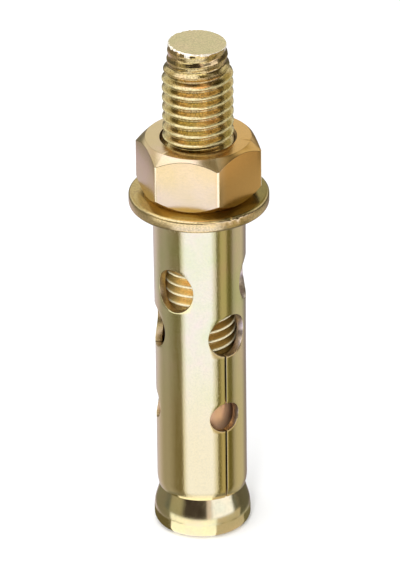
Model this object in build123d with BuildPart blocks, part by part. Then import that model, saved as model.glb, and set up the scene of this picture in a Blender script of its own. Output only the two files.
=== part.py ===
from build123d import *
from math import cos, radians, sin, tan
import os

# Sleeve anchor, standing on the forged cone head of its stud. Millimetres, +Z up, with the
# origin at the centre of the head's base. Angles round the axis start at -Y, the front, and
# grow towards +X, the right.

# Stud: one forged and rolled piece, with a cone head at its foot and a thread at its free end
stud_length = 90.0
thread_radius = 5.94          # crests of the M12 thread; its turns are fine detail
thread_length = 55.0          # from the free end down to the plain shank
thread_runout = 1.0           # slope from the plain shank up to the crests
shank_radius = 5.4            # rolled blank, near the thread's pitch diameter
tip_radius = 4.85             # flat end face
tip_shoulder_radius = 5.1     # where the first crests begin
tip_shoulder_depth = 2.9      # below the end face
thread_start_depth = 6.0      # below the end face, where the crests reach their full height
head_radius = 8.2
head_shoulder_height = 3.45   # where the cone's slope would meet the head's side
head_shoulder_round = 8.0     # the forging swells gently from the side into the cone
head_base_round = 1.35
cone_half_angle = 16.6
cone_neck_round = 1.5

# Sleeve: steel strip, punched, slit and rolled, its lower end closed in on the cone
sleeve_radius = 7.8           # at the upper end
sleeve_waist = 0.16           # the slit half has closed in by this much
sleeve_waist_level = 26.0     # where it has done so
sleeve_wall = 1.15
sleeve_length = 53.2
sleeve_end_flare = 0.67       # the bore's lower edge opens by this much to sit on the cone
sleeve_end_closing = 0.27     # how far the outside closes in at the lower end
sleeve_end_closing_length = 1.9
columns = 3                   # each row of holes, and the slits, repeat this often round the axis
upper_hole_width = 6.7        # hole widths are measured along the flat strip
upper_hole_height = 7.9
upper_hole_level = 39.65      # levels are hole centres above the sleeve's lower end
upper_hole_angle = -35.2
middle_hole_width = 7.45
middle_hole_height = 7.65
middle_hole_level = 30.95
middle_hole_angle = 39.4
lower_hole_width = 5.55
lower_hole_height = 5.3
lower_hole_level = 15.6
slit_angle = 32.8             # the slits run down through the lower row of holes
slit_width = 0.3
seam_width = 0.5              # the rear slit is the strip's open seam, and runs the full length
seam_column = 1

# Washer
washer_radius = 11.75
washer_thickness = 2.3
washer_edge_round = 0.6
washer_bore_round = 0.25

# Hexagon nut
nut_across_flats = 18.6
nut_height = 10.0
nut_angle = 17.7              # direction of one corner as it stands
nut_face_radius = 8.85        # flat ring inside the corner chamfer, at both ends
nut_chamfer_angle = 45.0
nut_corner_round = 0.5
nut_countersink = 0.5         # how much wider than the bore its mouths are

# Clearances, measured along the radius
seat_clearance = 0.05         # between the cone and the sleeve's lower end
washer_clearance = 0.56       # between the thread and the washer's bore
nut_clearance = 0.05          # between the thread's crests and the nut's bore

# The stack on the stud, worked out from the cone upwards
cone_slope = tan(radians(cone_half_angle))
waist_radius = sleeve_radius - sleeve_waist
sleeve_bore_radius = sleeve_radius - sleeve_wall
waist_bore_radius = waist_radius - sleeve_wall
sleeve_middle_radius = sleeve_radius - sleeve_wall / 2
seat_radius = waist_bore_radius + sleeve_end_flare
sleeve_bottom = head_shoulder_height + (head_radius - seat_radius + seat_clearance) / cone_slope
washer_bottom = sleeve_bottom + sleeve_length
nut_bottom = washer_bottom + washer_thickness
nut_top = nut_bottom + nut_height
washer_bore_radius = thread_radius + washer_clearance
nut_bore_radius = thread_radius + nut_clearance

os.makedirs("parts", exist_ok=True)


def radial_plane(angle, height):
    """The upright plane through the axis that faces the given direction, with its X axis up."""
    return Plane(
        origin=(0, 0, height),
        x_dir=(0, 0, 1),
        z_dir=(sin(radians(angle)), -cos(radians(angle)), 0),
    )


def ring_at(body, height):
    """The sharp circular edge of a turned body at the given height."""
    circles = body.edges().filter_by(GeomType.CIRCLE)
    return circles.filter_by_position(Axis.Z, height - 0.01, height + 0.01)


# Stud
cone_top = head_shoulder_height + (head_radius - shank_radius) / cone_slope
thread_bottom = stud_length - thread_length
with BuildPart() as stud:
    with BuildSketch(Plane.XZ):
        with BuildLine():
            Polyline(
                (0, 0),
                (head_radius, 0),
                (head_radius, head_shoulder_height),
                (shank_radius, cone_top),
                (shank_radius, thread_bottom - thread_runout),
                (thread_radius, thread_bottom),
                (thread_radius, stud_length - thread_start_depth),
                (tip_shoulder_radius, stud_length - tip_shoulder_depth),
                (tip_radius, stud_length),
                (0, stud_length),
                close=True,
            )
        make_face()
    revolve(axis=Axis.Z)
    fillet(ring_at(stud, 0), radius=head_base_round)
    fillet(ring_at(stud, head_shoulder_height), radius=head_shoulder_round)
    fillet(ring_at(stud, cone_top), radius=cone_neck_round)

stud.part.label = "stud"
export_step(stud.part, "parts/stud.step")


# Sleeve: the wall is revolved, then punched
seat_flare_height = sleeve_end_flare / cone_slope
lip_radius = waist_radius - sleeve_end_closing
closing_top = sleeve_bottom + sleeve_end_closing_length
waist_top = sleeve_bottom + sleeve_waist_level
with BuildPart() as sleeve:
    with BuildSketch(Plane.XZ):
        with BuildLine():
            TangentArc(
                (waist_radius, closing_top), (lip_radius, sleeve_bottom), tangent=(0, -1)
            )
            Polyline(
                (lip_radius, sleeve_bottom),
                (seat_radius, sleeve_bottom),
                (waist_bore_radius, sleeve_bottom + seat_flare_height),
                (waist_bore_radius, waist_top),
                (sleeve_bore_radius, washer_bottom),
                (sleeve_radius, washer_bottom),
                (waist_radius, waist_top),
                (waist_radius, closing_top),
            )
        make_face()
    revolve(axis=Axis.Z)

    # A hole punched in the flat strip has walls that lean towards the axis once it is rolled,
    # so each punch widens with its distance from the axis and keeps its height
    punch_start = waist_bore_radius / 2
    punch_end = sleeve_radius * 1.1
    for width, height, level, first_angle in (
        (upper_hole_width, upper_hole_height, upper_hole_level, upper_hole_angle),
        (middle_hole_width, middle_hole_height, middle_hole_level, middle_hole_angle),
        (lower_hole_width, lower_hole_height, lower_hole_level, slit_angle),
    ):
        spread = tan(width / 2 / sleeve_middle_radius)
        for column in range(columns):
            wall = radial_plane(first_angle + column * 360 / columns, sleeve_bottom + level)
            with BuildSketch(wall.offset(punch_start)):
                Ellipse(height / 2, punch_start * spread)
            with BuildSketch(wall.offset(punch_end)):
                Ellipse(height / 2, punch_end * spread)
            loft(mode=Mode.SUBTRACT)

    # Slits run from the middle row down to the lower end, and one of them is the seam
    for column in range(columns):
        is_seam = column == seam_column
        slit_top = sleeve_length if is_seam else middle_hole_level
        wall = radial_plane(slit_angle + column * 360 / columns, sleeve_bottom)
        with BuildSketch(wall):
            Rectangle(
                2 * slit_top, seam_width if is_seam else slit_width, align=Align.CENTER
            )
        extrude(amount=punch_end, mode=Mode.SUBTRACT)

sleeve.part.label = "sleeve"
export_step(sleeve.part, "parts/sleeve.step")


# Washer: its section is rounded, then revolved
with BuildPart() as washer:
    with BuildSketch(Plane.XZ):
        with Locations((washer_bore_radius, washer_bottom)):
            section = Rectangle(
                washer_radius - washer_bore_radius, washer_thickness, align=Align.MIN
            )
        corners = section.vertices().group_by(Axis.X)
        fillet(corners[0], radius=washer_bore_round)
        fillet(corners[-1], radius=washer_edge_round)
    revolve(axis=Axis.Z)

washer.part.label = "washer"
export_step(washer.part, "parts/washer.step")


# Nut: a hexagon bar slice, turned to a chamfer at both ends and bored
turned_radius = nut_across_flats / 2 / cos(radians(30)) + 1
turned_drop = (turned_radius - nut_face_radius) * tan(radians(nut_chamfer_angle))
mouth_radius = nut_bore_radius + nut_countersink
with BuildPart() as nut:
    with BuildSketch(Plane.XY.offset(nut_bottom)):
        hexagon = RegularPolygon(
            nut_across_flats / 2, side_count=6, major_radius=False, rotation=nut_angle - 90
        )
        fillet(hexagon.vertices(), radius=nut_corner_round)
    extrude(amount=nut_height)
    with BuildSketch(Plane.XZ):
        with BuildLine():
            Polyline(
                (0, nut_bottom),
                (nut_face_radius, nut_bottom),
                (turned_radius, nut_bottom + turned_drop),
                (turned_radius, nut_top - turned_drop),
                (nut_face_radius, nut_top),
                (0, nut_top),
                close=True,
            )
        make_face()
    revolve(axis=Axis.Z, mode=Mode.INTERSECT)
    with BuildSketch(Plane.XZ):
        with BuildLine():
            Polyline(
                (0, nut_bottom),
                (mouth_radius, nut_bottom),
                (nut_bore_radius, nut_bottom + nut_countersink),
                (nut_bore_radius, nut_top - nut_countersink),
                (mouth_radius, nut_top),
                (0, nut_top),
                close=True,
            )
        make_face()
    revolve(axis=Axis.Z, mode=Mode.SUBTRACT)

nut.part.label = "nut"
export_step(nut.part, "parts/nut.step")
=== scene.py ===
"""Looks of the sleeve anchor: its plated steel pieces, modelled in place of the plain solids.

The anchor stands on its cone head. Lengths in this script are millimetres, and every mesh is turned
to metres when it is finished. Angles round the axis start at -Y, the front, and grow towards +X.
"""

import logging
import math
from dataclasses import dataclass, field
from enum import Enum
from typing import Callable, Sequence

import bmesh
import bpy
from mathutils import Matrix, Vector, noise


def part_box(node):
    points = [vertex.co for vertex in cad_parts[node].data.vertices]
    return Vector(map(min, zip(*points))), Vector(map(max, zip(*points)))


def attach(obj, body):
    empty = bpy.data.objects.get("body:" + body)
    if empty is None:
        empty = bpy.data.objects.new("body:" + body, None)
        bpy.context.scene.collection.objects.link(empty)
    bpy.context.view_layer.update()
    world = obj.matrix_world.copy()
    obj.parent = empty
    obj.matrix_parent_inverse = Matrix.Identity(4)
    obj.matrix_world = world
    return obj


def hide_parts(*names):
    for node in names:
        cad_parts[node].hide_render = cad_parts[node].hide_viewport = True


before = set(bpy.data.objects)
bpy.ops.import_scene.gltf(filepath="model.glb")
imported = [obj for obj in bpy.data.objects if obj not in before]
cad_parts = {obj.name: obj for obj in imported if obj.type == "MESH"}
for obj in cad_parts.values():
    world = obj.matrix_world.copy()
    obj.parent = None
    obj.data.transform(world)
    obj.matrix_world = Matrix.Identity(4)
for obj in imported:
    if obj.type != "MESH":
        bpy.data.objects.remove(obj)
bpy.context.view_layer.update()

log = logging.getLogger("anchor")

METRES = 0.001  # one millimetre, in Blender's metres
AXIS_UP = (0.0, 0.0, 1.0)
TURN = 2 * math.pi
LEVEL_TOLERANCE = 1e-4  # points closer than this lie at one level
WELD = 1e-3  # points closer than this are one point in a finished piece

Span = tuple[float, float]
Profile = list[Span]
Mesh = bmesh.types.BMesh
Vert = bmesh.types.BMVert
Edge = bmesh.types.BMEdge
Tree = bpy.types.NodeTree
Node = bpy.types.Node
Socket = bpy.types.NodeSocket


class Body(Enum):
    """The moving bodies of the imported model."""

    STUD = "stud"
    SLEEVE = "sleeve"
    NUT = "nut"


class Rounding(Enum):
    """What a bevel rounds off."""

    EDGES = "EDGES"
    CORNERS = "VERTICES"


class Way(Enum):
    """A direction on the anchor."""

    RIGHT = "X"
    UP = "Z"


def extent(node: str) -> tuple[float, float, float]:
    """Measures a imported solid.

    Args:
        node: the solid's name.

    Returns:
        Its lowest level, its highest level and half its width, in millimetres.
    """
    low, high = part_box(node)
    low, high = low / METRES, high / METRES
    return low.z, high.z, (high.x - low.x) / 2


def on_circle(angle: float, radius: float, height: float) -> Vector:
    """The point at an angle in radians from the front, a radius and a height."""
    return Vector((radius * math.sin(angle), -radius * math.cos(angle), height))


def angle_of(point: Vector) -> float:
    """The angle of a point round the axis, in radians from the front."""
    return math.atan2(point.x, -point.y)


def off_axis(point: Vector) -> float:
    """The distance of a point from the axis."""
    return math.hypot(point.x, point.y)


def smooth(value: float, low: float, high: float) -> float:
    """A smooth step from 0 at low to 1 at high; low may be the larger."""
    share = max(0.0, min(1.0, (value - low) / (high - low)))
    return share * share * (3 - 2 * share)


def blend(a: float, b: float, share: float) -> float:
    """The value that lies the given share of the way from a to b."""
    return a + (b - a) * share


def rounded(corners: Sequence[tuple[float, float, float]], steps: int) -> Profile:
    """Makes an outline of straight runs whose corners are rounded by arcs.

    Args:
        corners: radius, height and rounding of each corner, in millimetres.
        steps: how many runs each arc has.

    Returns:
        The points of the outline as (radius, height) pairs.
    """
    points: Profile = []
    for index, (radius, height, rounding) in enumerate(corners):
        corner = Vector((radius, height))
        if rounding == 0 or index in (0, len(corners) - 1):
            points.append((radius, height))
            continue
        back = (Vector(corners[index - 1][:2]) - corner).normalized()
        ahead = (Vector(corners[index + 1][:2]) - corner).normalized()
        half = back.angle(ahead) / 2
        centre = corner + (back + ahead).normalized() * rounding / math.sin(half)
        start = corner + back * rounding / math.tan(half) - centre
        end = corner + ahead * rounding / math.tan(half) - centre
        for step in range(steps + 1):
            point = centre + start.slerp(end, step / steps).normalized() * rounding
            points.append((point.x, point.y))
    return points


def pull(bm: Mesh, loop: Sequence[Edge], place: Callable[[Vector], Vector]) -> list[Edge]:
    """Extrudes a loop of edges and puts each new vertex in its place.

    Args:
        bm: the mesh being built.
        loop: the edges to extrude.
        place: gives a vertex's new position from its old one.

    Returns:
        The edges of the new loop.
    """
    new = bmesh.ops.extrude_edge_only(bm, edges=list(loop))["geom"]
    for vert in (item for item in new if isinstance(item, Vert)):
        vert.co = place(vert.co.copy())
    return [item for item in new if isinstance(item, Edge) and item.is_boundary]


def pull_round(bm: Mesh, loop: Sequence[Edge], radius: float, height: float) -> list[Edge]:
    """Extrudes a loop of edges to a circle round the axis and gives the new loop's edges."""
    return pull(bm, loop, lambda point: on_circle(angle_of(point), radius, height))


def spin_section(
    bm: Mesh,
    section: Sequence[Vector],
    steps: int,
    angle: float = TURN,
    rise: float = 0.0,
    closed: bool = False,
) -> None:
    """Spins a section round the axis.

    Args:
        bm: the mesh being built.
        section: the section's points, in order.
        steps: how many facets the spin makes.
        angle: how far it turns, in radians.
        rise: how far it climbs from facet to facet.
        closed: whether the section is closed, and the spin closes on its start.
    """
    chain = [bm.verts.new(point) for point in section]
    following = chain[1:] + chain[:1] if closed else chain[1:]
    edges = [bm.edges.new(pair) for pair in zip(chain, following)]
    bmesh.ops.spin(
        bm,
        geom=chain + edges,
        cent=(0, 0, 0),
        axis=AXIS_UP,
        dvec=(0, 0, rise),
        angle=angle,
        steps=steps,
        use_merge=closed,
    )


def round_off(
    bm: Mesh,
    sharp: Sequence[Edge | Vert],
    reach: float,
    steps: int = 3,
    rounding: Rounding = Rounding.EDGES,
) -> None:
    """Rounds edges or corners off.

    Args:
        bm: the mesh being built.
        sharp: the edges or vertices to round.
        reach: how far from them the rounding begins.
        steps: how many facets it has.
        rounding: which of the two they are.
    """
    bmesh.ops.bevel(
        bm,
        geom=sharp,
        offset=reach,
        offset_type="OFFSET",
        segments=steps,
        profile=0.5,
        affect=rounding.value,
        clamp_overlap=True,
        material=-1,
    )


def open_edges(bm: Mesh, height: float) -> list[Edge]:
    """Finds the open edges of a mesh that lie at one level.

    Args:
        bm: the mesh being built.
        height: the level.

    Returns:
        The edges.
    """

    def level(edge: Edge) -> bool:
        """Whether both ends of an edge lie at the level."""
        return all(abs(vert.co.z - height) < LEVEL_TOLERANCE for vert in edge.verts)

    return [edge for edge in bm.edges if edge.is_boundary and level(edge)]


def cut_level(bm: Mesh, height: float, keep_below: bool) -> list[Edge]:
    """Cuts a mesh off at a height.

    Args:
        bm: the mesh being built.
        height: where the cut lies.
        keep_below: whether what is under the cut stays, rather than what is over it.

    Returns:
        The open edges along the cut.
    """
    bmesh.ops.bisect_plane(
        bm,
        geom=bm.verts[:] + bm.edges[:] + bm.faces[:],
        dist=LEVEL_TOLERANCE / 10,
        plane_co=(0, 0, height),
        plane_no=AXIS_UP,
        clear_outer=keep_below,
        clear_inner=not keep_below,
    )
    return open_edges(bm, height)


def linear(colour: str) -> tuple[float, float, float, float]:
    """Turns an sRGB hex colour to the linear colour that a shader takes."""
    values = [int(colour[start : start + 2], 16) / 255 for start in (1, 3, 5)]
    return (*[v / 12.92 if v <= 0.04045 else ((v + 0.055) / 1.055) ** 2.4 for v in values], 1.0)


def per_metre(size: float) -> float:
    """The Noise Texture scale at which its features are the given size in millimetres."""
    return 1 / (size * METRES)


def add_node(
    tree: Tree, kind: str, inputs: dict[str | int, object] | None = None, **settings: object
) -> Node:
    """Adds a node with its settings, values and links.

    Args:
        tree: the node tree.
        kind: the node's type name.
        inputs: for each input, by name or number, a value, the output socket that it is linked to,
            or a node, whose first output in use it is then linked to.
        settings: the node's own properties.

    Returns:
        The new node.
    """
    node = tree.nodes.new(kind)
    for name, value in settings.items():
        setattr(node, name, value)
    for name, value in (inputs or {}).items():
        if isinstance(value, Node):
            value = next(output for output in value.outputs if output.enabled)
        if isinstance(value, Socket):
            tree.links.new(value, node.inputs[name])
        else:
            node.inputs[name].default_value = value
    return node


def empty_tree(owner: bpy.types.Material | bpy.types.World) -> Tree:
    """Clears the node tree of a new material or world.

    Args:
        owner: the material or world.

    Returns:
        Its empty tree.
    """
    owner.use_nodes = True
    owner.node_tree.nodes.clear()
    return owner.node_tree


def plain_material(
    name: str, shader: str, colour: tuple[float, float, float, float]
) -> bpy.types.Material:
    """Makes a material of one shader in one colour.

    Args:
        name: the material's name.
        shader: the shader node's type name.
        colour: its linear colour.

    Returns:
        The material.
    """
    material = bpy.data.materials.new(name)
    tree = empty_tree(material)
    plain = add_node(tree, shader, {"Color": colour})
    add_node(tree, "ShaderNodeOutputMaterial", {"Surface": plain})
    return material


@dataclass(frozen=True)
class PassivatedZinc:
    """Yellow-passivated zinc plating on steel.

    The eye gets a soft metal gloss in pale gold that drifts to blush pink and moss green where the
    chromate film is thinner or thicker, broken up by the fine grain of the zinc. Towards one side
    the film can take another tone, which on most pieces is painted shade or a painted highlight of
    that side, and far from the axis it can go paler, which is handling wear with a painted
    highlight.
    """

    name: str
    gold: str
    blush: str
    moss: str
    roughness: float = 0.2
    metallic: float = 1.0
    cloud: float = 9.0  # size of the drifts of colour
    cloud_share: float = 0.5  # how far the drifts go towards the blush and the moss
    blush_level: float = 0.32  # of the drifts' noise, where the film is all blush
    moss_level: float = 0.68  # and where it is all moss
    side_tone: str | None = None  # the film's tone towards one side, mostly painted shade or a painted highlight of that side
    side_tone_along: Way = Way.RIGHT
    side_tone_from: Span = (0.0, 1.0)  # where that film begins and is whole
    worn: str | None = None  # the paler film far from the axis: handling wear and a painted highlight on crests, rims and corners
    wear_and_highlight_from: Span = (0.0, 1.0)  # distance from the axis where the wear and its painted highlight begin and are whole
    wear_and_highlight_scatter: float = 0.0  # share of the light that scuffs in the worn film scatter, which brightens its painted highlight
    streak: float = 0.35  # width of the drawing streaks along the part
    streak_length: float = 14.0
    streak_depth: float = 0.0
    streak_levels: Span = (0.3, 0.7)  # of the streaks' noise, from the smoothest to the roughest
    streak_roughness: Span = (0.8, 1.25)  # times the roughness, at those levels
    grain: float = 0.26  # zinc grain; the real one is finer, drawn as coarse as the render can show
    grain_depth: float = 0.0035
    scuff: float = 0.12  # share by which the grain darkens the film
    scuff_levels: Span = (0.35, 0.6)  # of the grain's noise, from wholly scuffed to clean

    def build(self) -> bpy.types.Material:
        """Makes the material.

        Returns:
            The material, with its patterns on the piece's own coordinates.
        """
        material = bpy.data.materials.new(self.name)
        tree = empty_tree(material)
        place = add_node(tree, "ShaderNodeTexCoord").outputs["Object"]
        grain = add_node(
            tree,
            "ShaderNodeTexNoise",
            {"Vector": place, "Scale": per_metre(self.grain), "Detail": 2.0, "Roughness": 0.6},
        )
        scuffed, clean = self.scuff_levels
        dulled = add_node(
            tree,
            "ShaderNodeMapRange",
            {"Value": grain, "From Min": scuffed, "From Max": clean, "To Min": 1 - self.scuff},
        )
        film = {"Vector": self.film_colour(tree, place), "Scale": dulled}
        relief = add_node(
            tree, "ShaderNodeBump", {"Height": grain, "Distance": self.grain_depth * METRES}
        )
        surface = {
            "Base Color": add_node(tree, "ShaderNodeVectorMath", film, operation="SCALE"),
            "Metallic": self.metallic,
            "Roughness": self.roughness,
        }
        # Where the film is worn and painted as a highlight, part of its light scatters
        if self.wear_and_highlight_scatter:
            wear = {"Value": self.wear_and_highlight_share(tree, place), "To Min": self.metallic}
            wear["To Max"] = self.metallic * (1 - self.wear_and_highlight_scatter)
            surface["Metallic"] = add_node(tree, "ShaderNodeMapRange", wear)
        if self.streak_depth:
            streaks = self.drawing_streaks(tree, place)
            marks = {"Height": streaks, "Normal": relief, "Distance": self.streak_depth * METRES}
            relief = add_node(tree, "ShaderNodeBump", marks)
            gloss = {"Value": streaks}
            gloss["From Min"], gloss["From Max"] = self.streak_levels
            smoothest, roughest = self.streak_roughness
            gloss["To Min"] = self.roughness * smoothest
            gloss["To Max"] = self.roughness * roughest
            surface["Roughness"] = add_node(tree, "ShaderNodeMapRange", gloss)
        surface["Normal"] = relief
        shader = add_node(tree, "ShaderNodeBsdfPrincipled", surface)
        add_node(tree, "ShaderNodeOutputMaterial", {"Surface": shader})
        return material

    def drawing_streaks(self, tree: Tree, place: Socket) -> Node:
        """Draws the fine streaks that drawing and rolling leave along the piece.

        Args:
            tree: the material's node tree.
            place: the socket with the object coordinates.

        Returns:
            The node with the streaks' pattern.
        """
        squeeze = (1.0, 1.0, self.streak / self.streak_length)
        along = add_node(tree, "ShaderNodeMapping", {"Vector": place, "Scale": squeeze})
        pattern = {"Vector": along, "Scale": per_metre(self.streak), "Detail": 2.0}
        return add_node(tree, "ShaderNodeTexNoise", pattern)

    def film_colour(self, tree: Tree, place: Socket) -> Node:
        """Colours the film: blush through gold to moss, with another tone towards one side, mostly
        painted shade or a painted highlight, and a paler one outside, wear with a painted highlight.

        Args:
            tree: the material's node tree.
            place: the socket with the object coordinates.

        Returns:
            The node with the colour.
        """
        clouds = {"Vector": place, "Scale": per_metre(self.cloud), "Detail": 3.0, "Roughness": 0.55}
        drift = add_node(tree, "ShaderNodeTexNoise", clouds)
        colour = add_node(tree, "ShaderNodeValToRGB", {"Fac": drift})
        stops = colour.color_ramp.elements
        gold = Vector(linear(self.gold))
        ends = ((self.blush_level, self.blush), (self.moss_level, self.moss))
        for stop, (level, tone) in zip(stops, ends):
            stop.position = level
            stop.color = gold.lerp(Vector(linear(tone)), self.cloud_share)
        stops.new((self.blush_level + self.moss_level) / 2).color = gold
        # Towards one side: on most pieces painted shade or a painted highlight of that side
        if self.side_tone:
            parts = add_node(tree, "ShaderNodeSeparateXYZ", {"Vector": place}).outputs
            share = self.reached(tree, parts[self.side_tone_along.value], self.side_tone_from)
            film = {"Factor": share, "A": colour, "B": linear(self.side_tone)}
            colour = add_node(tree, "ShaderNodeMix", film, data_type="RGBA")
        # Far from the axis: handling wear with a painted highlight
        if self.worn:
            film = {"Factor": self.wear_and_highlight_share(tree, place), "A": colour, "B": linear(self.worn)}
            colour = add_node(tree, "ShaderNodeMix", film, data_type="RGBA")
        return colour

    def wear_and_highlight_share(self, tree: Tree, place: Socket) -> Node:
        """Works out how far the wear and its painted highlight have gone, by the distance from the
        axis.

        Args:
            tree: the material's node tree.
            place: the socket with the object coordinates.

        Returns:
            The node with the share, from 0 to 1.
        """
        flat = add_node(tree, "ShaderNodeVectorMath", {0: place, 1: (1, 1, 0)}, operation="MULTIPLY")
        radius = add_node(tree, "ShaderNodeVectorMath", {0: flat}, operation="LENGTH")
        return self.reached(tree, radius, self.wear_and_highlight_from)

    def reached(self, tree: Tree, value: Node | Socket, reach: Span) -> Node:
        """How far a value in metres has passed through a reach in millimetres, from 0 to 1."""
        ends = {"Value": value, "From Min": reach[0] * METRES, "From Max": reach[1] * METRES}
        return add_node(tree, "ShaderNodeMapRange", ends, interpolation_type="SMOOTHSTEP")


# Rolled strip: nearly a mirror, faintly streaked along its length, and yellower towards its foot
SLEEVE_ZINC = PassivatedZinc(
    "zinc_bright_rolled_strip",
    gold="#E9DFAE",
    blush="#F3D6BA",
    moss="#DCDF9E",
    roughness=0.12,
    cloud=8.0,
    cloud_share=0.65,
    side_tone="#EBDA9E",
    side_tone_along=Way.UP,
    side_tone_from=(40.0, 16.0),
    streak_depth=0.0008,
    grain=0.26,
    grain_depth=0.011,
    scuff=0.05,
)
# Punched edges and bores: a dull brownish film, thinner plating with painted shade inside the holes,
# made paler on the right by a painted highlight
BORE_ZINC_PAINTED_LIGHT = PassivatedZinc(
    "zinc_dull_inside_painted_light",
    gold="#BFA77C",
    blush="#C4A084",
    moss="#A89A66",
    roughness=0.36,
    cloud=4.0,
    side_tone="#E2D2C2",
    side_tone_from=(4.0, 7.0),
    scuff=0.3,
)
# Rolled thread in the open: glittering grain on its flanks, and crests made pale by wear and a
# painted highlight
THREAD_ZINC = PassivatedZinc(
    "zinc_rolled_thread",
    gold="#E4CB8C",
    blush="#EABF88",
    moss="#CDC078",
    roughness=0.17,
    cloud=4.0,
    worn="#F2E2A6",
    wear_and_highlight_from=(5.62, 5.9),
    wear_and_highlight_scatter=0.3,
    grain=0.27,
    grain_depth=0.015,
    scuff=0.42,
)
# Thread inside the sleeve: a copy of the thread's film painted as a deep, soft gold for the light
# that it gets in the holes, with painted shade going brown on the right and painted highlights as
# pale crest lines
COVERED_ZINC_PAINTED_LIGHT = PassivatedZinc(
    "zinc_covered_thread_painted_light",
    gold="#FAD888",
    blush="#FFCC80",
    moss="#ECD47A",
    roughness=0.3,
    metallic=0.65,
    cloud=4.0,
    side_tone="#B08C46",
    side_tone_from=(-1.0, 3.0),
    worn="#FAF0C8",
    wear_and_highlight_from=(5.7, 5.9),
    wear_and_highlight_scatter=0.6,
    grain_depth=0.005,
    scuff=0.3,
)
# Sheared end: a matt, evenly grained straw colour
SHEARED_ZINC = PassivatedZinc(
    "zinc_sheared_end",
    gold="#ECDCA8",
    blush="#F0D8AC",
    moss="#D9D29A",
    roughness=0.26,
    cloud=3.0,
    grain=0.3,
    grain_depth=0.006,
    scuff=0.22,
)
# Burr round the sheared end: hardly filmed, and coloured nearly white as a painted highlight along
# the edge
BURR_ZINC_PAINTED_HIGHLIGHT = PassivatedZinc(
    "zinc_bare_burr_painted_highlight",
    gold="#FFF6E2",
    blush="#FFF2E0",
    moss="#F8F2D8",
    roughness=0.3,
    metallic=0.6,
    scuff=0.05,
)
# Plain shank: a smooth pinkish film with a broad soft shine
SHANK_ZINC = PassivatedZinc(
    "zinc_plain_shank",
    gold="#FFD0A4",
    blush="#FFC8A0",
    moss="#FBCE9A",
    roughness=0.28,
    metallic=0.65,
    cloud=5.0,
    grain_depth=0.001,
    scuff=0.04,
)
# Forged cone head: glossy and greenish, with faint marks of the die along its slope
FORGED_ZINC = PassivatedZinc(
    "zinc_forged_head",
    gold="#E6D9A6",
    blush="#E4CFB2",
    moss="#CBD0A4",
    roughness=0.16,
    cloud=6.0,
    grain=0.3,
    grain_depth=0.0015,
    streak_depth=0.0012,
    scuff=0.05,
)
# Stamped washer: satin ochre, scuffed, with painted shade that goes olive on the right, and its rim
# made pale by wear and a painted highlight
WASHER_ZINC = PassivatedZinc(
    "zinc_stamped_washer",
    gold="#D8BE7C",
    blush="#DEB684",
    moss="#C1B26C",
    roughness=0.26,
    cloud=7.0,
    side_tone="#9C8A44",
    side_tone_from=(-7.0, 10.0),
    worn="#EBD39A",
    wear_and_highlight_from=(11.3, 11.7),
    grain=0.3,
    grain_depth=0.009,
    scuff=0.24,
)
# Cold-forged nut: satin blush and straw, with painted shade that goes orange on the right, and its
# corners made cream by wear and a painted highlight
NUT_ZINC = PassivatedZinc(
    "zinc_cold_forged_nut",
    gold="#E9D1A2",
    blush="#F0D1BC",
    moss="#E5CD90",
    roughness=0.24,
    cloud=10.0,
    cloud_share=0.7,
    side_tone="#E6B86B",
    side_tone_from=(2.2, 5.0),
    worn="#FAEAC8",
    wear_and_highlight_from=(10.59, 10.66),
    wear_and_highlight_scatter=0.6,
    grain_depth=0.0055,
    scuff=0.06,
)


def object_from(bm: Mesh, name: str, materials: Sequence[bpy.types.Material]) -> bpy.types.Object:
    """Makes an object of a mesh and links it to the scene.

    Args:
        bm: the mesh in millimetres; it is freed.
        name: the object's name.
        materials: its materials, in the order of the faces' material indices.

    Returns:
        The object, at the origin, unturned and unscaled.
    """
    bmesh.ops.transform(bm, matrix=Matrix.Scale(METRES, 4), verts=bm.verts)
    mesh = bpy.data.meshes.new(name)
    bm.to_mesh(mesh)
    bm.free()
    for material in materials:
        mesh.materials.append(material)
    made = bpy.data.objects.new(name, mesh)
    bpy.context.scene.collection.objects.link(made)
    return made


def finish_piece(
    bm: Mesh, name: str, body: Body, finishes: Sequence[PassivatedZinc]
) -> bpy.types.Object:
    """Makes the finished object of a piece, which replaces the solid of its name.

    Args:
        bm: the piece in millimetres; it is freed.
        name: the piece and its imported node.
        body: what it moves with.
        finishes: its finishes, in the order of the faces' material indices.

    Returns:
        The object.
    """
    bmesh.ops.remove_doubles(bm, verts=bm.verts, dist=WELD)
    bmesh.ops.recalc_face_normals(bm, faces=bm.faces)
    for face in bm.faces:
        face.smooth = True
    piece = object_from(bm, name + "_plated", [finish.build() for finish in finishes])
    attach(piece, body.value)
    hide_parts(name)
    faces = len(piece.data.polygons)
    log.info("%s: %d vertices, %d faces", piece.name, len(piece.data.vertices), faces)
    return piece


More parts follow.
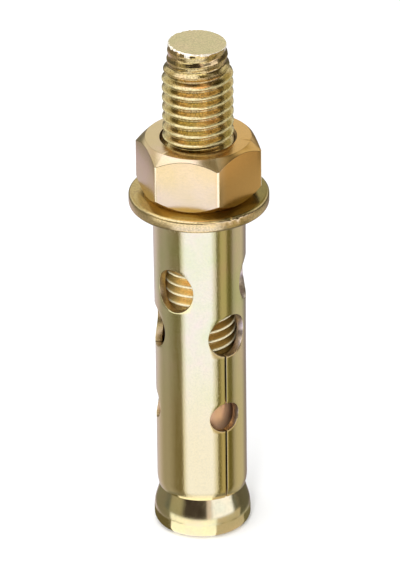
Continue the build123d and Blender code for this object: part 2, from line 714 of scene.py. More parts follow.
@dataclass(frozen=True)
class Thread:
    """A right-hand metric thread: the section of one pitch, spun up a helix."""

    pitch: float = 1.75
    crest_radius: float = 5.94
    root_radius: float = 4.87
    phase: float = 0.19  # share of a turn by which the helix is turned up
    steps: int = 96  # facets in one turn
    spare_turns: int = 2  # spun below what is asked for, and cut away
    weld: float = 0.012  # joins each turn to the next
    # Half the section: share of the pitch from the crest's middle, and share of the depth
    half_section: tuple[tuple[float, float], ...] = (
        (0.0, 1.0),
        (0.02, 1.0),
        (0.045, 1.0),
        (0.078, 0.955),
        (0.24, 0.5),
        (0.385, 0.085),
        (0.43, 0.01),
        (0.5, 0.0),
    )

    @property
    def depth(self) -> float:
        """The depth of the thread, from its crest to its root."""
        return self.crest_radius - self.root_radius

    def section(self) -> list[tuple[float, float]]:
        """One whole pitch of the section, from crest to crest."""
        rising = [(1 - along, depth) for along, depth in reversed(self.half_section[:-1])]
        return [*self.half_section, *rising]

    def spin(self, low: float, high: float) -> Mesh:
        """Spins the thread's surface over a stretch of its length.

        Args:
            low: the height up to which the surface has to reach down.
            high: the height that it has to reach up to.

        Returns:
            The open helical surface, which runs past both heights.
        """
        bm = bmesh.new()
        first = (math.floor(low / self.pitch) - self.spare_turns + self.phase) * self.pitch
        turns = math.ceil((high - first) / self.pitch) + 1
        section = [
            Vector((self.root_radius + share * self.depth, 0.0, first + along * self.pitch))
            for along, share in self.section()
        ]
        spin_section(bm, section, self.steps, rise=self.pitch / self.steps)
        one_turn = bm.verts[:] + bm.edges[:] + bm.faces[:]
        for turn in range(1, turns):
            copied = bmesh.ops.duplicate(bm, geom=one_turn)["geom"]
            verts = [item for item in copied if isinstance(item, Vert)]
            bmesh.ops.translate(bm, verts=verts, vec=(0, 0, turn * self.pitch))
        bmesh.ops.remove_doubles(bm, verts=bm.verts, dist=self.weld)
        return bm

    def off_crest(self, point: Vector) -> float:
        """Measures how far a point lies from the middle of the nearest crest.

        Args:
            point: a point of the spun surface.

        Returns:
            The distance along the axis, as a share of the pitch.
        """
        turned = angle_of(point) / TURN - 0.25  # the section is spun from +X
        along = point.z / self.pitch - self.phase - turned
        return abs(along - round(along))

    def share_at(self, point: Vector) -> float:
        """How high a point of the spun surface stands, from 0 at the root to 1 at the crest."""
        return (off_axis(point) - self.root_radius) / self.depth


@dataclass
class Stud:
    """The stud: rolled thread, plain shank and forged cone head, in one piece."""

    thread: Thread = field(default_factory=Thread)
    thread_length: float = 55.0
    runout: float = 2.0
    shank_radius: float = 5.4
    tip_radius: float = 4.85
    tip_shoulder_radius: float = 5.1
    tip_shoulder_depth: float = 2.9
    thread_start_depth: float = 6.0
    tip_groove: float = 0.16  # least depth of the thread on the tip's taper
    tip_slant: float = 0.42  # how much lower the sheared end lies on the right
    tip_rings: tuple[float, ...] = (0.82, 0.6, 0.3, 0.0)  # of its mesh, as shares of its radius
    # Crests that rolling hasn't filled keep a seam along their middle
    seam_depth: float = 0.14
    seam_reach: float = 0.04  # half its width, as a share of the pitch
    seam_start: Span = (7.5, 5.0)  # depths below the end where it begins and is whole
    # The unevenness of the crests: depth, and how fine it is in features per millimetre
    wear: tuple[Span, ...] = ((0.03, 1.3), (0.02, 3.1))
    # The marks that run round the tip's taper in its place
    taper_start: Span = (4.5, 3.0)  # depths below the end where they begin and are whole
    taper_marks: float = 0.06
    taper_fineness: tuple[float, float, float] = (0.9, 0.9, 4.0)
    # The burr on the tip's edge, and its chip
    cap_depth: float = 0.95  # from the tip's end down to where the thread is cut off
    burr_width: float = 0.22
    burr_least: float = 0.06
    # Its raggedness: depth, teeth per radian and where in the noise it is read
    burr_teeth: tuple[tuple[float, float, float], ...] = ((0.24, 5, 3.0), (0.3, 13, 9.0))
    burr_on_right: float = 0.25  # its share right of the front
    burr_fading: Span = (8.0, -4.0)  # degrees from the front between which it grows to the left
    chip_width: float = 0.24
    chip_left: Span = (2.0, 7.0)  # degrees where the chip begins and is whole
    chip_right: Span = (30.0, 22.0)  # degrees where it ends and is still whole
    # The broken edge: how far in from the side and down from the end, in widths of the burr
    burr_section: tuple[Span, ...] = (
        (0.0, 1.12),
        (0.0, 1.0),
        (0.06, 0.9),
        (0.9, 0.06),
        (1.0, 0.0),
        (1.12, 0.0),
    )
    burr_inset: float = 0.003  # how far inside the tip's side the burr begins
    burr_slope: float = 0.9  # upward part of a face's normal, below which it is the burr's
    head_shoulder_height: float = 3.45
    head_shoulder_round: float = 8.0
    head_base_round: float = 1.35
    head_steps: int = 10
    base_rings: tuple[float, ...] = (0.6, 0.25, 0.0)
    cone_half_angle: float = 16.6
    cone_neck_round: float = 1.5
    forged_top: float = 9.0  # inside the sleeve's lower end
    covered_top: float = 60.0  # under the washer; the thread below it, inside the sleeve, takes its copy with painted light

    def __post_init__(self) -> None:
        """Takes the length and the head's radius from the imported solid."""
        _, self.length, self.head_radius = extent("stud")
        self.thread_bottom = self.length - self.thread_length
        self.shank_top = self.thread_bottom - self.runout

    def crest_limit(self, height: float) -> float:
        """Gives the radius that the thread's crests reach.

        Args:
            height: the level on the stud.

        Returns:
            The radius: the tip's, the full thread's, or the shank's at the run-out.
        """
        below_tip = self.length - height
        if below_tip < self.tip_shoulder_depth:
            share = max(0.0, below_tip / self.tip_shoulder_depth)
            return blend(self.tip_radius, self.tip_shoulder_radius, share)
        tip = smooth(below_tip, self.tip_shoulder_depth, self.thread_start_depth)
        run = smooth(height, self.shank_top, self.thread_bottom)
        crest = blend(self.tip_shoulder_radius, self.thread.crest_radius, tip)
        return blend(self.shank_radius, crest, run)

    def root_limit(self, height: float) -> float:
        """Gives the radius that the thread's roots have.

        Args:
            height: the level on the stud.

        Returns:
            The radius, which stays below the crests by the tip's groove.
        """
        run = smooth(height, self.shank_top, self.thread_bottom + self.runout)
        root = blend(self.shank_radius, self.thread.root_radius, run)
        return min(root, self.crest_limit(height) - self.tip_groove * run)

    def radius_at(self, point: Vector) -> float:
        """Fades the thread out at both ends and roughens its crests as rolling leaves them.

        Args:
            point: a point of the thread as it was spun.

        Returns:
            Its distance from the axis on the finished stud.
        """
        below_tip = self.length - point.z
        share = self.thread.share_at(point)
        radius = blend(self.root_limit(point.z), self.crest_limit(point.z), share)
        taper = smooth(below_tip, *self.taper_start)
        worn = sum(depth * noise.noise(point * fine) for depth, fine in self.wear)
        marks = self.taper_marks * noise.noise(point * Vector(self.taper_fineness))
        radius += blend(worn * share, marks, taper)
        seam = smooth(self.thread.off_crest(point), self.seam_reach, 0.0)
        return radius - self.seam_depth * seam * smooth(below_tip, *self.seam_start)

    def broken_width(self, angle: float) -> float:
        """Gives how far the tip's edge is broken off, with its ragged burr and its chip.

        Args:
            angle: the direction from the axis, in radians from the front.

        Returns:
            The width of the broken edge.
        """
        degrees = math.degrees(angle)
        ragged = self.burr_width + sum(
            depth * noise.noise(Vector((teeth * angle, 0.0, place)))
            for depth, teeth, place in self.burr_teeth
        )
        fading = blend(self.burr_on_right, 1.0, smooth(degrees, *self.burr_fading))
        chip = smooth(degrees, *self.chip_left) * smooth(degrees, *self.chip_right)
        return max(self.burr_least, ragged) * fading + self.chip_width * chip

    def on_end(self, angle: float, radius: float, below: float = 0.0) -> Vector:
        """Finds a point of the sheared end, which lies a little out of square.

        Args:
            angle: the point's direction, in radians from the front.
            radius: its distance from the axis.
            below: how far it lies below the end.

        Returns:
            The point.
        """
        spot = on_circle(angle, radius, self.length - below)
        spot.z -= self.tip_slant * (1 + spot.x / self.tip_radius) / 2
        return spot

    def on_burr(self, angle: float, inward: float, down: float) -> Vector:
        """The point of the broken edge that lies the given widths of the burr in and down."""
        width = self.broken_width(angle)
        return self.on_end(angle, self.tip_radius - width * inward, width * down)

    def head_outline(self) -> Profile:
        """Draws the outline from the shank down over the cone and the head to its flat base.

        Returns:
            The points of the outline, without its ends.
        """
        slope = math.tan(math.radians(self.cone_half_angle))
        cone_top = self.head_shoulder_height + (self.head_radius - self.shank_radius) / slope
        corners = (
            (self.shank_radius, self.shank_top, 0),
            (self.shank_radius, cone_top, self.cone_neck_round),
            (self.head_radius, self.head_shoulder_height, self.head_shoulder_round),
            (self.head_radius, 0, self.head_base_round),
            (0, 0, 0),
        )
        return rounded(corners, self.head_steps)[1:-1]

    def finish_of(self, face: bmesh.types.BMFace) -> PassivatedZinc:
        """Chooses the finish of a face: by its level, save that the end and its burr have theirs.

        Args:
            face: a face of the finished stud.

        Returns:
            The finish.
        """
        spot = face.calc_center_median()
        inside = off_axis(spot) < self.tip_radius - self.burr_inset
        if inside and spot.z > self.length - self.cap_depth:
            # The burr's finish is a painted highlight
            return BURR_ZINC_PAINTED_HIGHLIGHT if abs(face.normal.z) < self.burr_slope else SHEARED_ZINC
        # By level; the thread inside the sleeve takes its copy with painted light
        tops = (
            (self.forged_top, FORGED_ZINC),
            (self.shank_top, SHANK_ZINC),
            (self.covered_top, COVERED_ZINC_PAINTED_LIGHT),
        )
        return next((finish for top, finish in tops if spot.z <= top), THREAD_ZINC)

    def build(self) -> bpy.types.Object:
        """Builds the stud from the thread's surface, its head below and its sheared end above.

        Returns:
            The finished piece.
        """
        bm = self.thread.spin(self.shank_top, self.length)
        for vert in bm.verts:
            vert.co = on_circle(angle_of(vert.co), self.radius_at(vert.co), vert.co.z)
        rim = cut_level(bm, self.length - self.cap_depth, keep_below=True)
        loop = cut_level(bm, self.shank_top, keep_below=False)
        for radius, height in self.head_outline():
            loop = pull_round(bm, loop, radius, height)
        for share in self.base_rings:
            loop = pull_round(bm, loop, share * (self.head_radius - self.head_base_round), 0.0)
        for inward, down in self.burr_section:
            rim = pull(bm, rim, lambda point: self.on_burr(angle_of(point), inward, down))
        for share in self.tip_rings:
            rim = pull(bm, rim, lambda point: self.on_end(angle_of(point), share * self.tip_radius))
        bm.normal_update()
        finishes = [FORGED_ZINC, SHANK_ZINC, COVERED_ZINC_PAINTED_LIGHT, THREAD_ZINC, SHEARED_ZINC, BURR_ZINC_PAINTED_HIGHLIGHT]
        for face in bm.faces:
            face.material_index = finishes.index(self.finish_of(face))
        return finish_piece(bm, "stud", Body.STUD, finishes)


@dataclass(frozen=True)
class HoleRow:
    """A row of punched holes, with as many holes as the strip has repeats."""

    width: float
    height: float
    level: float  # of the holes' centres above the sleeve's lower end
    angle: float  # of the first hole, in degrees
    patch: Span  # the levels between which the mesh is fine round the holes


@dataclass
class Sleeve:
    """The sleeve: steel strip punched with three rows of holes, slit, and rolled to a tube."""

    wall: float = 1.15
    waist: float = 0.16  # the slit half has closed in by this much
    waist_level: float = 26.0
    end_flare: float = 0.67
    end_flare_height: float = 2.25
    end_closing: float = 0.27
    end_closing_length: float = 1.9
    repeats: int = 3
    slit_angle: float = 32.8
    seam_column: int = 1
    seam_width: float = 0.5
    rim_round: float = 0.1
    upper: HoleRow = HoleRow(6.7, 7.9, 39.65, -35.2, (35.24, 44.36))
    middle: HoleRow = HoleRow(7.45, 7.65, 30.95, 39.4, (26.35, 35.24))
    lower: HoleRow = HoleRow(5.55, 5.3, 15.6, 32.8, (12.2, 19.0))
    # The mesh of the flat strip
    columns: int = 150  # facets round the tube, one of them as wide as a slit
    slit_reach: float = 0.52  # columns from a slit's middle that take in both its sides
    rim_reach: float = 0.6  # the same on the rim of a patch
    rim_level: float = 0.9  # share of a patch's half height past which its rim meets a slit
    strip_start: float = -119.6  # angle where the rolled strip's mesh begins, between two holes
    patch_margin: float = 1.6  # columns that the fine patches reach past their holes
    patch_step: float = 0.34  # height of a row within them
    foot: Span = (2.35, 0.25)  # the level of the last close row at the foot, and their height
    plain_rows: int = 4  # in each stretch between
    corner_bend: float = 1.0  # radians between two faces, past which their edge is rounded

    def __post_init__(self) -> None:
        """Takes the place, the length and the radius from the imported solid."""
        self.bottom, top, self.radius = extent("sleeve")
        self.length = top - self.bottom
        self.girth = TURN * (self.radius - self.wall / 2)
        self.column_width = self.girth / self.columns

    def levels(self) -> list[float]:
        """Sets out the heights of the mesh's rows: close in the patches and at the foot.

        Returns:
            The heights above the sleeve's lower end.
        """
        stretches = [self.foot]
        for row in (self.lower, self.middle, self.upper):
            stretches += [(row.patch[0], 0.0), (row.patch[1], self.patch_step)]
        found = [0.0]
        for top, step in (*stretches, (self.length, 0.0)):
            low = found[-1]
            if top - low > LEVEL_TOLERANCE:
                rows = round((top - low) / step) if step else self.plain_rows
                found += [blend(low, top, (row + 1) / rows) for row in range(rows)]
        return found

    def along_strip(self, angle: float) -> float:
        """How far along the flat strip an angle in degrees lies."""
        return (angle - self.strip_start) % 360 / 360 * self.girth

    def flat_strip(self) -> Mesh:
        """Lays the strip out flat, X along it and Z up it, as a grid of rows and columns.

        Returns:
            The grid.
        """
        bm = bmesh.new()
        levels = self.levels()
        rows = len(levels) - 1
        bmesh.ops.create_grid(bm, x_segments=self.columns, y_segments=rows, size=0.5)
        for vert in bm.verts:
            level = levels[round((vert.co.y + 0.5) * rows)]
            vert.co = Vector(((vert.co.x + 0.5) * self.girth, 0.0, level))
        return bm

    def punch(self, bm: Mesh, row: HoleRow, along: float, slits: Sequence[float]) -> None:
        """Punches one hole: a patch of the grid is taken out and its rim drawn in to an ellipse.

        Args:
            bm: the flat strip.
            row: the row that the hole belongs to.
            along: how far along the strip the hole's centre lies.
            slits: how far along it the slits lie.
        """
        column = self.column_width
        reach = row.width / 2 + self.patch_margin * column
        left, right = (round((along + side * reach) / column) * column for side in (-1, 1))
        low, high = row.patch
        spots = [(face, face.calc_center_median()) for face in bm.faces]
        inside = [face for face, spot in spots if left < spot.x < right and low < spot.z < high]
        gone = set(inside)
        rim = [edge for edge in bm.edges if sum(face in gone for face in edge.link_faces) == 1]
        bmesh.ops.delete(bm, geom=inside, context="FACES")
        ends: dict[tuple[float, ...], Vector] = {}

        def half_way(point: Vector) -> Vector:
            """Draws a point of the patch's rim half-way in, and notes where it goes in the end.

            Args:
                point: the point on the patch's rim.

            Returns:
                The point half-way to the hole's rim.
            """
            across = (2 * point.x - left - right) / (right - left)
            up = (2 * point.z - low - high) / (high - low)
            turn = math.atan2(up, across)
            x = along + row.width / 2 * math.cos(turn)
            rise = row.height / 2 * math.sin(turn)
            beside_slit = any(abs(point.x - slit) < self.rim_reach * column for slit in slits)
            if beside_slit and abs(up) > self.rim_level:
                x = point.x  # a slit's sides stay straight
                offset = (x - along) / (row.width / 2)
                rise = math.copysign(row.height / 2 * math.sqrt(1 - offset * offset), up)
            end = Vector((x, 0.0, row.level + rise))
            spot = point.lerp(end, 0.5)
            ends[tuple(spot)] = end
            return spot

        ring = pull(bm, rim, half_way)
        pull(bm, ring, lambda point: ends[tuple(point)])

    def cut_slits(self, bm: Mesh, slits: Sequence[float]) -> None:
        """Takes out the columns of the slits, and opens the seam to its own width.

        Args:
            bm: the flat strip.
            slits: how far along it the slits lie.
        """
        reach = self.slit_reach * self.column_width
        seam = slits[self.seam_column]
        gone = []
        for face in bm.faces:
            beside = [slit for slit in slits if all(abs(v.co.x - slit) < reach for v in face.verts)]
            below = face.calc_center_median().z < self.middle.level
            if beside and (beside[0] == seam or below):
                gone.append(face)
        bmesh.ops.delete(bm, geom=gone, context="FACES")
        widen = (self.seam_width - self.column_width) / 2
        for vert in bm.verts:
            if abs(vert.co.x - seam) < reach:
                vert.co.x += math.copysign(widen, vert.co.x - seam)

    def thicken(self, bm: Mesh) -> None:
        """Gives the strip its thickness and rounds the punched edges of both its faces.

        Args:
            bm: the flat strip, which then lies from 0 to the wall's thickness along Y.
        """
        bmesh.ops.recalc_face_normals(bm, faces=bm.faces)
        bmesh.ops.solidify(bm, geom=bm.faces[:], thickness=self.wall)
        low = min(vert.co.y for vert in bm.verts)
        for vert in bm.verts:
            vert.co.y -= low
        ends = [
            face
            for face in bm.faces
            if all(vert.co.x < LEVEL_TOLERANCE for vert in face.verts)
            or all(vert.co.x > self.girth - LEVEL_TOLERANCE for vert in face.verts)
        ]
        bmesh.ops.delete(bm, geom=ends, context="FACES_ONLY")
        corners = [
            edge
            for edge in bm.edges
            if len(edge.link_faces) == 2
            and edge.calc_face_angle(0.0) > self.corner_bend
            and abs(edge.verts[0].co.y - edge.verts[1].co.y) < LEVEL_TOLERANCE
        ]
        round_off(bm, corners, self.rim_round)

    def rolled(self, spot: Vector) -> Vector:
        """Rolls a point of the strip to its place in the tube.

        The tube's lower end is closed in on the cone and opened inside to sit on it.

        Args:
            spot: the point on the flat strip: along it, through its wall and up it.

        Returns:
            The point in the anchor.
        """
        along, through, level = spot
        above = max(0.0, (level - self.waist_level) / (self.length - self.waist_level))
        wide = self.radius - self.waist * (1 - above)
        near_end = max(0.0, 1 - level / self.end_closing_length)
        outside = wide - self.end_closing * near_end**2
        flare = max(0.0, 1 - level / self.end_flare_height)
        inside = wide - self.wall + self.end_flare * flare
        angle = math.radians(self.strip_start) + along / self.girth * TURN
        radius = blend(inside, outside, through / self.wall)
        return on_circle(angle, radius, self.bottom + level)

    def build(self) -> bpy.types.Object:
        """Builds the sleeve as it is made: punched flat, slit, then rolled.

        Returns:
            The finished piece.
        """
        bm = self.flat_strip()
        turns = [360 / self.repeats * index for index in range(self.repeats)]
        slits = [self.along_strip(self.slit_angle + turn) for turn in turns]
        for row in (self.upper, self.middle, self.lower):
            for turn in turns:
                self.punch(bm, row, self.along_strip(row.angle + turn), slits)
        self.cut_slits(bm, slits)
        self.thicken(bm)
        # The faces inside the tube and on the punched edges take the dull film with painted shade
        for face in bm.faces:
            inner = face.calc_center_median().y < self.wall - self.rim_round
            face.material_index = int(inner)
        for vert in bm.verts:
            vert.co = self.rolled(vert.co)
        return finish_piece(bm, "sleeve", Body.SLEEVE, [SLEEVE_ZINC, BORE_ZINC_PAINTED_LIGHT])


@dataclass
class Washer:
    """The flat washer, stamped from strip, with a rolled-over rim and a nicked edge."""

    edge_round: float = 0.6
    bore_round: float = 0.25
    bore_radius: float = 6.5
    section_start: float = 1.0  # above the bottom, on the bore's wall
    round_steps: int = 6
    steps: int = 240
    # The nicks that handling left along the front right of the upper rim
    nicks_left: Span = (6.0, 14.0)  # degrees from the front where they begin and are whole
    nicks_right: Span = (46.0, 34.0)  # degrees where they end and are still whole
    nicks_in: Span = (0.9, 0.5)  # how far in from the side they begin and are whole
    nicks_down: Span = (1.1, 0.4)  # how far below the top
    nick_depth: float = 0.32
    nick_width: float = 1.3  # in degrees
    nick_height: float = 0.5
    nick_place: float = 7.0  # where in the noise they are read
    nick_least: float = 0.02  # level of the noise that stays unmarked
    nick_lean: float = 0.5  # how much they bite down for each millimetre inwards

    def __post_init__(self) -> None:
        """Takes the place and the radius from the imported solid."""
        self.bottom, self.top, self.radius = extent("washer")

    def nicked(self, point: Vector) -> Vector:
        """Nicks the upper rim.

        Args:
            point: a point of the washer as it was stamped.

        Returns:
            Where it lies once handling has nicked it.
        """
        angle = math.degrees(angle_of(point))
        radius = off_axis(point)
        share = smooth(angle, *self.nicks_left) * smooth(angle, *self.nicks_right)
        share *= smooth(self.radius - radius, *self.nicks_in)
        share *= smooth(self.top - point.z, *self.nicks_down)
        spot = Vector((angle / self.nick_width, point.z / self.nick_height, self.nick_place))
        bite = max(0.0, noise.noise(spot) - self.nick_least) * self.nick_depth
        into = Vector((point.x, point.y, radius * self.nick_lean)).normalized()
        return point - into * share * bite

    def build(self) -> bpy.types.Object:
        """Builds the washer by spinning its rounded section.

        Returns:
            The finished piece.
        """
        start = (self.bore_radius, self.bottom + self.section_start, 0)
        corners = (
            start,
            (self.bore_radius, self.top, self.bore_round),
            (self.radius, self.top, self.edge_round),
            (self.radius, self.bottom, self.edge_round),
            (self.bore_radius, self.bottom, self.bore_round),
            start,
        )
        outline = rounded(corners, self.round_steps)[:-1]
        bm = bmesh.new()
        section = [Vector((radius, 0.0, height)) for radius, height in outline]
        spin_section(bm, section, self.steps, closed=True)
        for vert in bm.verts:
            vert.co = self.nicked(vert.co)
        return finish_piece(bm, "washer", Body.SLEEVE, [WASHER_ZINC])


@dataclass
class Nut:
    """The hexagon nut: chamfered at both ends, with a thread that meshes with the stud's."""

    thread: Thread = field(default_factory=Thread)
    across_flats: float = 18.6
    first_corner: float = -42.3  # its angle, in degrees; the one in front lies 60 degrees on
    corner_round: float = 0.5
    corner_steps: int = 5
    side_cuts: int = 9
    face_radius: float = 8.85
    face_margin: float = 0.5  # from the bore's mouth out to where the face's mesh begins
    chamfer_angle: float = 45.0
    edge_round: float = 0.16
    edge_bend: float = 0.35  # radians between two faces, past which their edge is rounded
    mouth_radius: float = 6.49
    countersink_slope: float = 0.55
    thread_gap: float = 0.08  # between its thread and the stud's, along the radius
    minor_radius: float = 5.05

    def __post_init__(self) -> None:
        """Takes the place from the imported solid."""
        self.bottom, self.top, _ = extent("nut")

    def chamfer_drop(self, point: Vector) -> float:
        """How far the chamfer has come down at a point's distance from the axis."""
        return (off_axis(point) - self.face_radius) * math.tan(math.radians(self.chamfer_angle))

    def hexagon(self, bm: Mesh) -> list[Edge]:
        """Draws the hexagon's outline with rounded corners and divided sides.

        Args:
            bm: the empty mesh.

        Returns:
            The outline's edges.
        """
        half_side = math.radians(30)  # half of what one side spans round the axis
        radius = self.across_flats / 2 / math.cos(half_side)
        turn = Matrix.Rotation(math.radians(self.first_corner), 4, "Z")
        made = bmesh.ops.create_circle(bm, segments=6, radius=radius, matrix=turn)
        tangent = self.corner_round * math.tan(half_side)
        round_off(bm, made["verts"], tangent, self.corner_steps, Rounding.CORNERS)
        sides = [edge for edge in bm.edges if edge.calc_length() > self.across_flats / 4]
        bmesh.ops.subdivide_edges(bm, edges=sides, cuts=self.side_cuts)
        return bm.edges[:]

    def bore(self) -> Mesh:
        """Cuts the threaded bore, with a countersink at both mouths.

        Returns:
            The bore's surface, cut off at the nut's faces.
        """
        bm = self.thread.spin(self.bottom, self.top)
        for vert in bm.verts:
            inward = min(vert.co.z - self.bottom, self.top - vert.co.z)
            countersink = self.mouth_radius - max(0.0, inward) * self.countersink_slope
            radius = max(off_axis(vert.co) + self.thread_gap, self.minor_radius, countersink)
            vert.co = on_circle(angle_of(vert.co), radius, vert.co.z)
        cut_level(bm, self.top, keep_below=True)
        cut_level(bm, self.bottom, keep_below=False)
        # The bore takes the dull film with painted shade
        for face in bm.faces:
            face.material_index = 1
        return bm

    def build(self) -> bpy.types.Object:
        """Builds the nut: hexagon sides, chamfers, faces and the threaded bore.

        Returns:
            The finished piece.
        """
        bm = bmesh.new()
        lower = self.hexagon(bm)
        for vert in bm.verts:
            vert.co.z = self.bottom + self.chamfer_drop(vert.co)
        upper = pull(bm, lower, lambda p: Vector((p.x, p.y, self.top - self.chamfer_drop(p))))
        for loop, level in ((lower, self.bottom), (upper, self.top)):
            ring = pull_round(bm, loop, self.face_radius, level)
            pull_round(bm, ring, self.mouth_radius + self.face_margin, level)
        sharp = [edge for edge in bm.edges if edge.calc_face_angle(0.0) > self.edge_bend]
        round_off(bm, sharp, self.edge_round)
        bore = self.bore()
        mesh = bpy.data.meshes.new("nut_bore")
        bore.to_mesh(mesh)
        bore.free()
        bm.from_mesh(mesh)
        bpy.data.meshes.remove(mesh)
        for level in (self.bottom, self.top):
            rim = open_edges(bm, level)
            bmesh.ops.triangle_fill(bm, edges=rim, use_beauty=True, normal=AXIS_UP)
            for edge in rim:
                edge.smooth = False
        return finish_piece(bm, "nut", Body.NUT, [NUT_ZINC, BORE_ZINC_PAINTED_LIGHT])


@dataclass(frozen=True)
class Panel:
    """A stretch of the light tent round the anchor, as the metal sees it, in degrees."""

    name: str
    azimuth: Span
    elevation: Span
    colour: tuple[float, float, float]
    edge: float = 2.0  # softness of its edges


@dataclass(frozen=True)
class Lamp:
    """A round soft lamp, aimed at the anchor."""

    name: str
    place: tuple[float, float, float]
    width: float
    watts: float


@dataclass
class Studio:
    """A light tent with a pale floor: what the metal mirrors, the lamps and the camera."""

    floor_colour: str = "#F4F4F4"
    floor_radius: float = 1500.0
    floor_segments: int = 64
    surround: tuple[float, float, float] = (0.5, 0.5, 0.5)
    panels: tuple[Panel, ...] = (
        Panel("floor_below", (-180, 180), (-90, -42), (0.25, 0.24, 0.22), 6),
        Panel("floor_below_front", (-50, 36), (-78, -42), (1.25, 1.25, 1.5), 6),
        Panel("floor_sides", (-180, 180), (-42, -9), (0.4, 0.37, 0.35), 3),
        Panel("floor_left_pale", (-200, -128), (-42, -9), (0.66, 0.59, 0.68), 34),
        Panel("floor_left_dim", (-80, -30), (-42, -9), (0.17, 0.135, 0.06), 36),
        Panel("floor_right_pale", (97, 138), (-42, -9), (0.58, 0.54, 0.47), 22),
        Panel("floor_right_limb", (142, 172), (-42, -9), (0.3, 0.26, 0.28), 30),
        Panel("floor_right_dim", (36, 88), (-42, -9), (0.15, 0.128, 0.042), 10),
        Panel("floor_right_strip", (51, 71), (-42, -9), (0.52, 0.45, 0.27), 8),
        Panel("floor_front_edge", (-49, 42), (-42, -9), (0.84, 0.82, 0.88), 3),
        Panel("floor_front", (-42, 33), (-42, -9), (1.15, 1.22, 1.82), 12),
        Panel("shoulder_left", (-180, -80), (-24.5, -9), (0.25, 0.23, 0.18)),
        Panel("shoulder_front", (-80, 32), (-24.5, -9), (1.42, 1.4, 1.46)),
        Panel("shoulder_right", (32, 98), (-24.5, -9), (0.67, 0.56, 0.45)),
        Panel("shoulder_far", (98, 180), (-24.5, -9), (0.14, 0.13, 0.1)),
        Panel("horizon", (-180, 180), (-9, 20), (0.14, 0.14, 0.13), 3),
        Panel("horizon_left", (-86, -48), (-9, 20), (0.42, 0.38, 0.27), 12),
        Panel("horizon_right", (92, 130), (-9, 20), (0.06, 0.05, 0.035), 8),
        Panel("horizon_dark", (-48, 9), (-9, 20), (0.05, 0.035, 0.03), 8),
        Panel("horizon_blush", (10, 22), (-9, 20), (0.95, 0.78, 0.9), 5),
        Panel("horizon_light", (22, 78), (-9, 8), (1.4, 1.4, 1.9), 5),
        Panel("back_wall", (100, 260), (6, 60), (0.79, 0.79, 0.77), 10),
        Panel("front_upper", (-75, 34), (22, 50), (1.4, 1.35, 1.2), 8),
        Panel("right_upper_dark", (32, 94), (8, 44), (0.08, 0.065, 0.03), 10),
        Panel("left_shoulder", (-170, -100), (24, 48), (0.68, 0.64, 0.54), 8),
        Panel("right_shoulder", (118, 165), (24, 46), (0.45, 0.4, 0.22), 8),
        Panel("top_left", (-170, -60), (48, 88), (1.3, 1.28, 1.2), 8),
        Panel("top_front", (-110, -3), (38, 88), (1.5, 1.55, 1.95), 4),
        Panel("top_right_dark", (-2, 52), (48, 78), (0.15, 0.12, 0.05), 4),
        Panel("right_high_dark", (84, 165), (46, 79), (0.03, 0.025, 0.0), 8),
        Panel("zenith_warm", (-180, 180), (78, 90), (1.6, 1.0, 0.66), 6),
    )
    # Cards on the sheet close round the head, which only its straight band mirrors
    floor_cards: tuple[Panel, ...] = (
        Panel("card_left", (-90, -40.8), (0, 0), (0.16, 0.135, 0.065)),
        Panel("card_front", (-40.8, 15.8), (0, 0), (1.45, 1.42, 1.48)),
        Panel("card_right", (15.8, 58), (0, 0), (0.67, 0.56, 0.45)),
        Panel("card_far_right", (58, 90), (0, 0), (0.2, 0.17, 0.1)),
    )
    card_radii: Span = (7.4, 8.2)
    card_reach: float = 5.3
    card_lift: float = 0.02
    card_steps: int = 24
    lamps: tuple[Lamp, ...] = (
        Lamp("top_box", (-150.0, -100.0, 800.0), 500.0, 1.6),  # gives the floor its contact shadow
        Lamp("front_box", (-90.0, -510.0, 320.0), 120.0, 1.6),  # reaches in through the holes
    )
    lamp_target: float = 30.0
    camera_distance: float = 1044.7
    camera_elevation: float = 27.97
    camera_target: float = 44.62
    camera_roll: float = -0.7
    focal_length: float = 393.2
    sensor: float = 36.0

    def build(self) -> None:
        """Sets up the floor, the tent, the lamps, the camera and the colour management."""
        self.add_floor()
        for card in self.floor_cards:
            self.add_floor_card(card)
        self.add_tent()
        for lamp in self.lamps:
            self.add_lamp(lamp)
        self.add_camera()
        bpy.context.scene.view_settings.view_transform = "Standard"

    def add_floor(self) -> None:
        """Lays the pale floor, which the camera sees with the anchor's soft shadow."""
        bm = bmesh.new()
        size = {"segments": self.floor_segments, "radius": self.floor_radius}
        bmesh.ops.create_circle(bm, cap_ends=True, **size)
        colour = linear(self.floor_colour)
        sheet = plain_material("matt_white_sheet", "ShaderNodeBsdfDiffuse", colour)
        floor = object_from(bm, "floor", [sheet])
        floor.visible_glossy = False

    def add_floor_card(self, card: Panel) -> None:
        """Lays one card beside the head, seen by the metal alone.

        Its azimuths are those of the stretch of the head that mirrors it: from each point of the
        head its edge runs the way that the point mirrors the camera's line of sight.

        Args:
            card: the card, which lies flat and has no elevations.
        """
        start, end = (math.radians(value) for value in card.azimuth)
        bm = bmesh.new()
        section = [on_circle(start, radius, self.card_lift) for radius in self.card_radii]
        spin_section(bm, section, self.card_steps, angle=end - start)
        for vert in bm.verts:
            if off_axis(vert.co) > sum(self.card_radii) / 2:
                vert.co += on_circle(2 * angle_of(vert.co), self.card_reach, 0.0)
        glow = plain_material(card.name, "ShaderNodeEmission", (*card.colour, 1.0))
        sector = object_from(bm, card.name, [glow])
        sector.visible_camera = False
        sector.visible_diffuse = False
        sector.visible_shadow = False

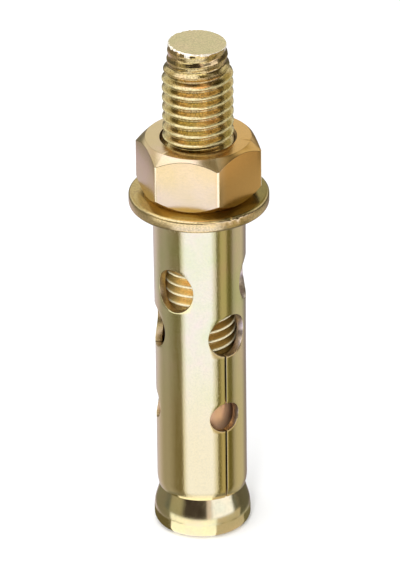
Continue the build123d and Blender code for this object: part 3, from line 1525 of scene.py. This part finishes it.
    def add_tent(self) -> None:
        """Builds the world: white to the camera, and the tent's panels to the metal."""
        world = bpy.data.worlds.new("light_tent")
        bpy.context.scene.world = world
        tree = empty_tree(world)
        toward = add_node(tree, "ShaderNodeTexCoord").outputs["Generated"]
        parts = add_node(tree, "ShaderNodeSeparateXYZ", {"Vector": toward}).outputs
        front = add_node(tree, "ShaderNodeMath", {0: parts["Y"], 1: -1.0}, operation="MULTIPLY")
        azimuth = add_node(tree, "ShaderNodeMath", {0: parts["X"], 1: front}, operation="ARCTAN2")
        elevation = add_node(tree, "ShaderNodeMath", {0: parts["Z"]}, operation="ARCSINE")
        seen = (*self.surround, 1.0)
        for panel in self.panels:
            mask = self.panel_mask(tree, panel, azimuth, elevation)
            over = {"Factor": mask, "A": seen, "B": (*panel.colour, 1.0)}
            seen = add_node(tree, "ShaderNodeMix", over, data_type="RGBA", label=panel.name)
        rays = add_node(tree, "ShaderNodeLightPath").outputs
        mirrored = add_node(tree, "ShaderNodeBackground", {"Color": seen})
        white = add_node(tree, "ShaderNodeBackground", {"Color": (1.0, 1.0, 1.0, 1.0)})
        choice = {"Fac": rays["Is Glossy Ray"], 1: white, 2: mirrored}
        tent = add_node(tree, "ShaderNodeMixShader", choice)
        add_node(tree, "ShaderNodeOutputWorld", {"Surface": tent})

    def panel_mask(self, tree: Tree, panel: Panel, azimuth: Node, elevation: Node) -> Node:
        """Masks a panel out of the tent: 1 on it and 0 off it, with soft edges.

        Args:
            tree: the world's node tree.
            panel: the panel.
            azimuth: the node with the direction's azimuth from the front, in radians.
            elevation: the node with its elevation, in radians.

        Returns:
            The node with the mask.
        """
        soft = math.radians(panel.edge) / 2
        low, high = (math.radians(value) for value in panel.elevation)
        left, right = (math.radians(value) for value in panel.azimuth)
        steps = [(elevation, low - soft, low + soft), (elevation, high + soft, high - soft)]
        if right - left < TURN:
            middle, half = (left + right) / 2, (right - left) / 2
            off = add_node(tree, "ShaderNodeMath", {0: azimuth, 1: middle}, operation="SUBTRACT")
            facing = add_node(tree, "ShaderNodeMath", {0: off}, operation="COSINE")
            away = add_node(tree, "ShaderNodeMath", {0: facing}, operation="ARCCOSINE")
            steps.append((away, half + soft, half - soft))
        mask = 1.0
        for value, start, end in steps:
            ends = {"Value": value, "From Min": start, "From Max": end}
            step = add_node(tree, "ShaderNodeMapRange", ends, interpolation_type="SMOOTHSTEP")
            mask = add_node(tree, "ShaderNodeMath", {0: mask, 1: step}, operation="MULTIPLY")
        return mask

    def add_lamp(self, lamp: Lamp) -> None:
        """Hangs a soft lamp, which the metal doesn't mirror.

        Args:
            lamp: the lamp.
        """
        data = bpy.data.lights.new(lamp.name, "AREA")
        data.shape = "DISK"
        data.size = lamp.width * METRES
        data.energy = lamp.watts
        box = bpy.data.objects.new(lamp.name, data)
        box.location = Vector(lamp.place) * METRES
        aim = Vector((0, 0, self.lamp_target)) * METRES - box.location
        box.rotation_euler = aim.to_track_quat("-Z", "Y").to_euler()
        box.visible_glossy = False
        bpy.context.scene.collection.objects.link(box)

    def add_camera(self) -> None:
        """Puts the camera at the photograph's viewing angle."""
        data = bpy.data.cameras.new("camera")
        data.lens = self.focal_length
        data.sensor_width = self.sensor
        data.sensor_fit = "AUTO"
        camera = bpy.data.objects.new("camera", data)
        tilt = math.radians(self.camera_elevation)
        back = Vector((0, -math.cos(tilt), math.sin(tilt))) * self.camera_distance
        camera.location = (Vector((0, 0, self.camera_target)) + back) * METRES
        look = Matrix.Rotation(math.pi / 2 - tilt, 4, "X")
        roll = Matrix.Rotation(math.radians(self.camera_roll), 4, "Z")
        camera.rotation_euler = (look @ roll).to_euler()
        bpy.context.scene.collection.objects.link(camera)
        bpy.context.scene.camera = camera


def main() -> None:
    """Builds the studio and the four pieces of the anchor."""
    logging.basicConfig(level=logging.INFO, format="%(relativeCreated)d %(name)s: %(message)s")
    Studio().build()
    for part in (Stud(), Sleeve(), Washer(), Nut()):
        part.build()


if __name__ == "__main__":
    main()
